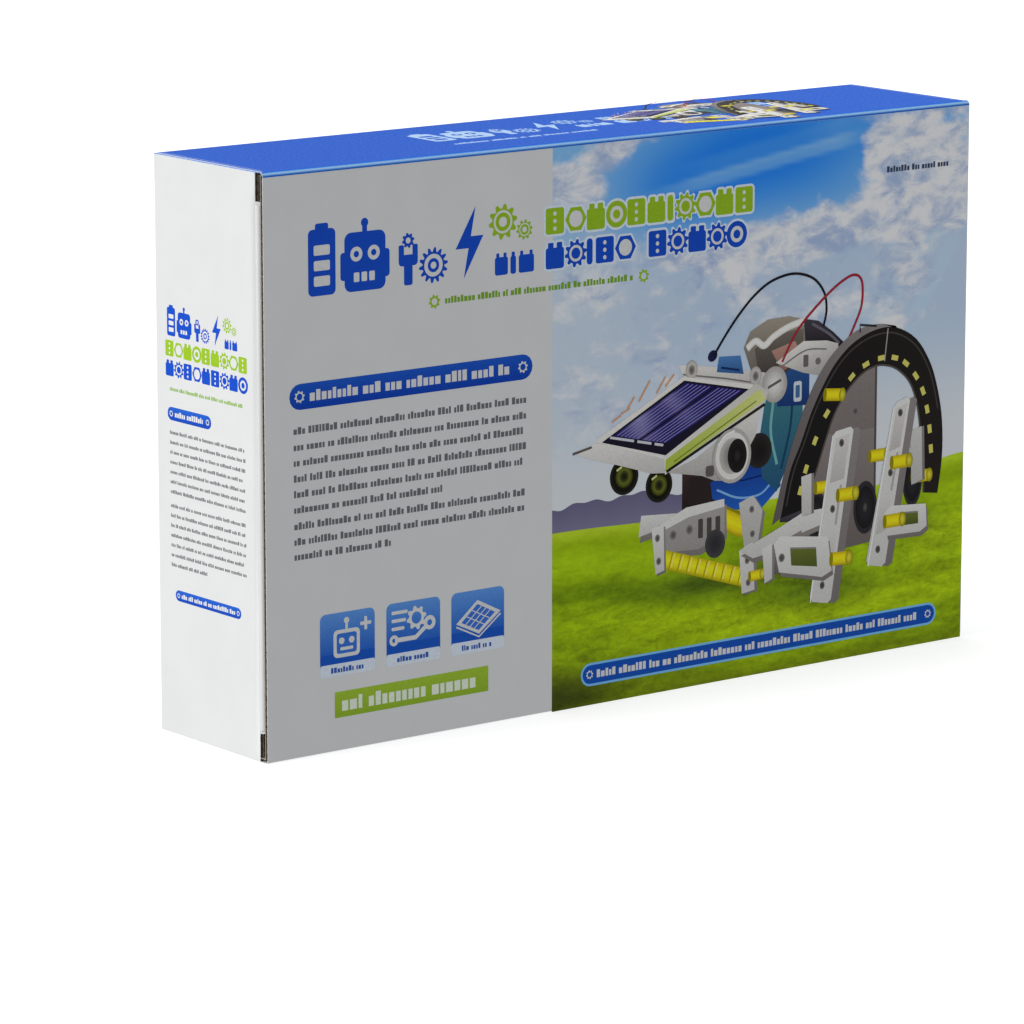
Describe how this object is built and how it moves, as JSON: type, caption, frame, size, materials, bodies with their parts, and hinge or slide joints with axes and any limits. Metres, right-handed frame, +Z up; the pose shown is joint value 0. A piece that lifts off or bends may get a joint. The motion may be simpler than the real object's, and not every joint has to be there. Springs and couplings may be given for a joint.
{
  "type": "boxed solar robot kit",
  "caption": "Upright tuck-end carton with printed front panel and hinged end flaps, holding a tray of robot parts: geared drive unit, solar head, arches, legs, links and connectors.",
  "frame": {"origin": "middle of the long narrow face that the box stands on", "axes": "+Z up; +X along the longest side, the left end of the printed front being at -X; -Y is the way the printed front faces"},
  "size_m": [0.315, 0.065, 0.2],
  "materials": {
    "carton_board": "printed and satin coated white board",
    "tray_plastic": "thin thermoformed sheet",
    "booklet_paper": "matt uncoated",
    "sticker_paper": "gloss label stock",
    "white_plastic": "moulded, fine satin",
    "grey_plastic": "moulded, fine satin",
    "black_plastic": "moulded, fine satin",
    "yellow_plastic": "moulded, satin",
    "lime_plastic": "moulded, gloss",
    "blue_clear_plastic": "clear tinted moulding",
    "screw_steel": "zinc plated",
    "bright_steel": "plated sheet and ground rod",
    "pinion_brass": "machined",
    "gear_plastic": "nylon",
    "solar_cells": "encapsulated cells"
  },
  "bodies": {
    "box": {"carton_sleeve": "carton_board", "connector_pins": "yellow_plastic", "drive_hood": "black_plastic", "drive_motor": "bright_steel", "front_cross_tube": "yellow_plastic", "gearbox_back_shell": "blue_clear_plastic", "gearbox_front_shell": "blue_clear_plastic", "gearbox_screws": "screw_steel", "glue_flap": "carton_board", "head_frame": "white_plastic", "idler_pin": "bright_steel", "inner_tray": "tray_plastic", "instruction_booklet": "booklet_paper", "left_arch_marks": "yellow_plastic", "left_arch_plate": "grey_plastic", "left_arch_tread": "black_plastic", "left_crank_disc": "black_plastic", "left_ear_disc": "black_plastic", "left_eye_cup": "black_plastic", "left_eye_lens": "lime_plastic", "left_head_stripe": "lime_plastic", "left_side_frame": "white_plastic", "leg_1": "white_plastic", "leg_2": "white_plastic", "leg_3": "white_plastic", "leg_4": "white_plastic", "link_1": "white_plastic", "link_2": "white_plastic", "link_3": "white_plastic", "link_4": "white_plastic", "rear_cross_tube": "yellow_plastic", "right_arch_marks": "yellow_plastic", "right_arch_plate": "grey_plastic", "right_arch_tread": "black_plastic", "right_crank_disc": "black_plastic", "right_ear_disc": "black_plastic", "right_eye_cup": "black_plastic", "right_eye_lens": "lime_plastic", "right_head_stripe": "lime_plastic", "right_side_frame": "white_plastic", "solar_panel": "solar_cells", "sticker_sheet": "sticker_paper"},
    "left_end_panel": {"left_end_flap": "carton_board"},
    "left_tuck": {"left_tuck_flap": "carton_board"},
    "left_top_dust": {"left_top_dust_flap": "carton_board"},
    "left_bottom_dust": {"left_bottom_dust_flap": "carton_board"},
    "right_end_panel": {"right_end_flap": "carton_board"},
    "right_tuck": {"right_tuck_flap": "carton_board"},
    "right_top_dust": {"right_top_dust_flap": "carton_board"},
    "right_bottom_dust": {"right_bottom_dust_flap": "carton_board"},
    "pinion": {"motor_pinion": "pinion_brass"},
    "first_idler": {"first_idler_gear": "gear_plastic"},
    "second_idler": {"second_idler_gear": "gear_plastic"},
    "output": {"output_gear": "gear_plastic", "output_shaft": "bright_steel"},
    "neck": {"neck_bracket": "white_plastic"}
  },
  "joints": [
    {"name": "left_end_hinge", "type": "hinge", "parent": "box", "child": "left_end_panel", "pos_m": [-0.1559, 0.0325, 0.1], "axis": [0, 0, -1], "range_deg": [0, 150]},
    {"name": "left_tuck_crease", "type": "hinge", "parent": "left_end_panel", "child": "left_tuck", "pos_m": [-0.156, -0.0285, 0.1], "axis": [0, 0, 1], "range_deg": [0, 39.5]},
    {"name": "left_top_dust_crease", "type": "hinge", "parent": "box", "child": "left_top_dust", "pos_m": [-0.1558, 0, 0.1984], "axis": [0, 1, 0], "range_deg": [0, 62]},
    {"name": "left_bottom_dust_crease", "type": "hinge", "parent": "box", "child": "left_bottom_dust", "pos_m": [-0.1558, 0, 0.0016], "axis": [0, -1, 0], "range_deg": [0, 62]},
    {"name": "right_end_hinge", "type": "hinge", "parent": "box", "child": "right_end_panel", "pos_m": [0.1559, 0.0325, 0.1], "axis": [0, 0, 1], "range_deg": [0, 150]},
    {"name": "right_tuck_crease", "type": "hinge", "parent": "right_end_panel", "child": "right_tuck", "pos_m": [0.156, -0.0285, 0.1], "axis": [0, 0, -1], "range_deg": [0, 39.5]},
    {"name": "right_top_dust_crease", "type": "hinge", "parent": "box", "child": "right_top_dust", "pos_m": [0.1558, 0, 0.1984], "axis": [0, -1, 0], "range_deg": [0, 62]},
    {"name": "right_bottom_dust_crease", "type": "hinge", "parent": "box", "child": "right_bottom_dust", "pos_m": [0.1558, 0, 0.0016], "axis": [0, 1, 0], "range_deg": [0, 62]},
    {"name": "output_spin", "type": "hinge", "parent": "box", "child": "output", "pos_m": [-0.105, 0, 0.032], "axis": [0, 1, 0], "continuous": true},
    {"name": "second_idler_spin", "type": "hinge", "parent": "box", "child": "second_idler", "pos_m": [-0.105, 0, 0.0514], "axis": [0, 1, 0], "continuous": true},
    {"name": "first_idler_spin", "type": "hinge", "parent": "box", "child": "first_idler", "pos_m": [-0.105, 0, 0.032], "axis": [0, 1, 0], "continuous": true},
    {"name": "pinion_spin", "type": "hinge", "parent": "box", "child": "pinion", "pos_m": [-0.1244, 0, 0.032], "axis": [0, 1, 0], "continuous": true},
    {"name": "head_tilt", "type": "hinge", "parent": "box", "child": "neck", "pos_m": [0.039, 0.012, 0.142], "axis": [1, 0, 0], "range_deg": [-25, 25]}
  ],
  "couplings": [
    {"joint": "left_tuck_crease", "follows": "left_end_hinge", "ratio": 0.25},
    {"joint": "left_top_dust_crease", "follows": "left_end_hinge", "ratio": 0.4},
    {"joint": "left_bottom_dust_crease", "follows": "left_end_hinge", "ratio": 0.4},
    {"joint": "right_tuck_crease", "follows": "right_end_hinge", "ratio": 0.25},
    {"joint": "right_top_dust_crease", "follows": "right_end_hinge", "ratio": 0.4},
    {"joint": "right_bottom_dust_crease", "follows": "right_end_hinge", "ratio": 0.4},
    {"joint": "second_idler_spin", "follows": "output_spin", "ratio": -3},
    {"joint": "first_idler_spin", "follows": "output_spin", "ratio": 9},
    {"joint": "pinion_spin", "follows": "output_spin", "ratio": -27}
  ]
}
